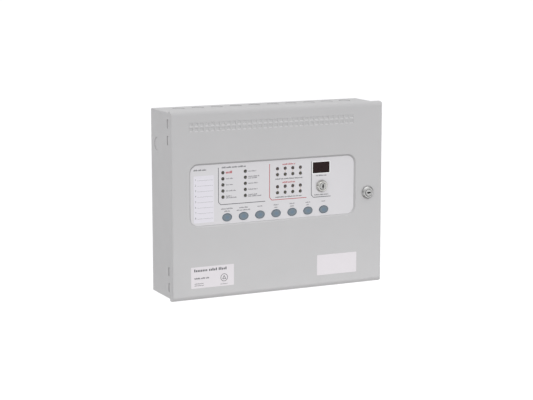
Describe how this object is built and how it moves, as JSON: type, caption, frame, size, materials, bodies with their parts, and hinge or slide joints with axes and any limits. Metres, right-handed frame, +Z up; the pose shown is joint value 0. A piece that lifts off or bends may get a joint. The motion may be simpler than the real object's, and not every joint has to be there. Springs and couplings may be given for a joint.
{
  "type": "fire alarm control panel",
  "caption": "Wall-mounted conventional fire alarm control panel: grey steel box with a hinged, lockable door, lamp and key fascia, key switch, boards and standby batteries.",
  "frame": {"origin": "middle of the box's rear face, on the wall", "axes": "+X to the right seen from the front, +Y into the wall, +Z up; the door faces -Y"},
  "size_m": [0.385, 0.0951, 0.31],
  "materials": {
    "painted_steel": "light grey fine-texture powder coat",
    "zinc_steel": "zinc plated",
    "chrome_plate": "polished nickel chrome",
    "brass": "machined",
    "overlay_film": "printed polyester film",
    "card": "pale printed card",
    "label_film": "pale label film",
    "button_plastic": "blue-grey moulding",
    "lamp_lens": "dark unlit lens",
    "smoked_window": "dark red-brown acrylic",
    "display_grey": "grey module",
    "circuit_board": "green solder mask",
    "terminal_green": "green moulding",
    "terminal_cream": "cream moulding",
    "relay_white": "white relay case",
    "black_plastic": "black moulding",
    "battery_case": "dark grey ABS case",
    "core_steel": "varnished laminations",
    "coil_tape": "yellow winding tape",
    "fin_aluminium": "extruded",
    "capacitor_sleeve": "dark blue sleeve",
    "lead_red": "PVC insulation",
    "lead_black": "PVC insulation",
    "lead_green": "green and yellow PVC insulation",
    "ribbon_grey": "flat grey cable"
  },
  "bodies": {
    "back_box_body": {"back_box": "painted_steel", "hinge_brackets": "painted_steel", "hinge_pins": "zinc_steel", "lock_strike": "zinc_steel", "earth_stud": "brass", "chassis_plate": "zinc_steel", "chassis_fixings": "zinc_steel", "main_board": "circuit_board", "board_standoffs": "brass", "board_screws": "zinc_steel", "field_terminals": "terminal_green", "terminal_screws": "zinc_steel", "mains_terminal_block": "terminal_cream", "transformer_core": "core_steel", "transformer_coil": "coil_tape", "heatsink": "fin_aluminium", "capacitors": "capacitor_sleeve", "relays": "relay_white", "chips": "black_plastic", "buzzer": "black_plastic", "main_header": "black_plastic", "battery_left": "battery_case", "battery_right": "battery_case", "battery_terminals": "zinc_steel", "battery_lead_red": "lead_red", "battery_lead_black": "lead_black", "battery_strap": "zinc_steel", "ribbon_cable": "ribbon_grey", "door_earth_lead": "lead_green"},
    "door": {"door_panel": "painted_steel", "door_hinge_lugs": "painted_steel", "fascia_overlay": "overlay_film", "zone_chart_card": "card", "door_labels": "label_film", "status_lamps": "lamp_lens", "zone_fire_lamps": "lamp_lens", "zone_fault_lamps": "lamp_lens", "display_window": "smoked_window", "seven_segment_display": "display_grey", "display_board": "circuit_board", "display_board_fixings": "zinc_steel", "tact_switches": "black_plastic", "display_header": "black_plastic", "door_earth_stud": "brass", "keyswitch_body": "chrome_plate", "keyswitch_nut": "chrome_plate", "keyswitch_contact_block": "black_plastic", "lock_body": "chrome_plate", "lock_nut": "chrome_plate"},
    "keyswitch_rotor": {"keyswitch_plug": "chrome_plate"},
    "lock_rotor": {"lock_plug": "chrome_plate", "lock_cam": "zinc_steel", "lock_cam_screw": "zinc_steel"},
    "silence_alarm_button_key": {"silence_alarm_button": "button_plastic"},
    "mute_buzzer_button_key": {"mute_buzzer_button": "button_plastic"},
    "reset_button_key": {"reset_button": "button_plastic"},
    "lamp_test_button_key": {"lamp_test_button": "button_plastic"},
    "select_zone_button_key": {"select_zone_button": "button_plastic"},
    "menu_step_button_key": {"menu_step_button": "button_plastic"},
    "enter_button_key": {"enter_button": "button_plastic"}
  },
  "joints": [
    {"name": "door_hinge", "type": "hinge", "parent": "back_box_body", "child": "door", "pos_m": [-0.1869, -0.0738, 0], "axis": [0, 0, -1], "range_deg": [0, 95], "deforming": ["ribbon_cable", "door_earth_lead"]},
    {"name": "keyswitch_turn", "type": "hinge", "parent": "door", "child": "keyswitch_rotor", "pos_m": [0.0783, -0.09, 0.0175], "axis": [0, 1, 0], "range_deg": [0, 90]},
    {"name": "lock_turn", "type": "hinge", "parent": "door", "child": "lock_rotor", "pos_m": [0.165, -0.09, 0.001], "axis": [0, 1, 0], "range_deg": [0, 90]},
    {"name": "silence_alarm_press", "type": "slide", "parent": "door", "child": "silence_alarm_button_key", "axis": [0, 1, 0], "range_m": [0, 0.0008], "stiffness_N_per_m": 2000},
    {"name": "mute_buzzer_press", "type": "slide", "parent": "door", "child": "mute_buzzer_button_key", "axis": [0, 1, 0], "range_m": [0, 0.0008], "stiffness_N_per_m": 2000},
    {"name": "reset_press", "type": "slide", "parent": "door", "child": "reset_button_key", "axis": [0, 1, 0], "range_m": [0, 0.0008], "stiffness_N_per_m": 2000},
    {"name": "lamp_test_press", "type": "slide", "parent": "door", "child": "lamp_test_button_key", "axis": [0, 1, 0], "range_m": [0, 0.0008], "stiffness_N_per_m": 2000},
    {"name": "select_zone_press", "type": "slide", "parent": "door", "child": "select_zone_button_key", "axis": [0, 1, 0], "range_m": [0, 0.0008], "stiffness_N_per_m": 2000},
    {"name": "menu_step_press", "type": "slide", "parent": "door", "child": "menu_step_button_key", "axis": [0, 1, 0], "range_m": [0, 0.0008], "stiffness_N_per_m": 2000},
    {"name": "enter_press", "type": "slide", "parent": "door", "child": "enter_button_key", "axis": [0, 1, 0], "range_m": [0, 0.0008], "stiffness_N_per_m": 2000}
  ]
}
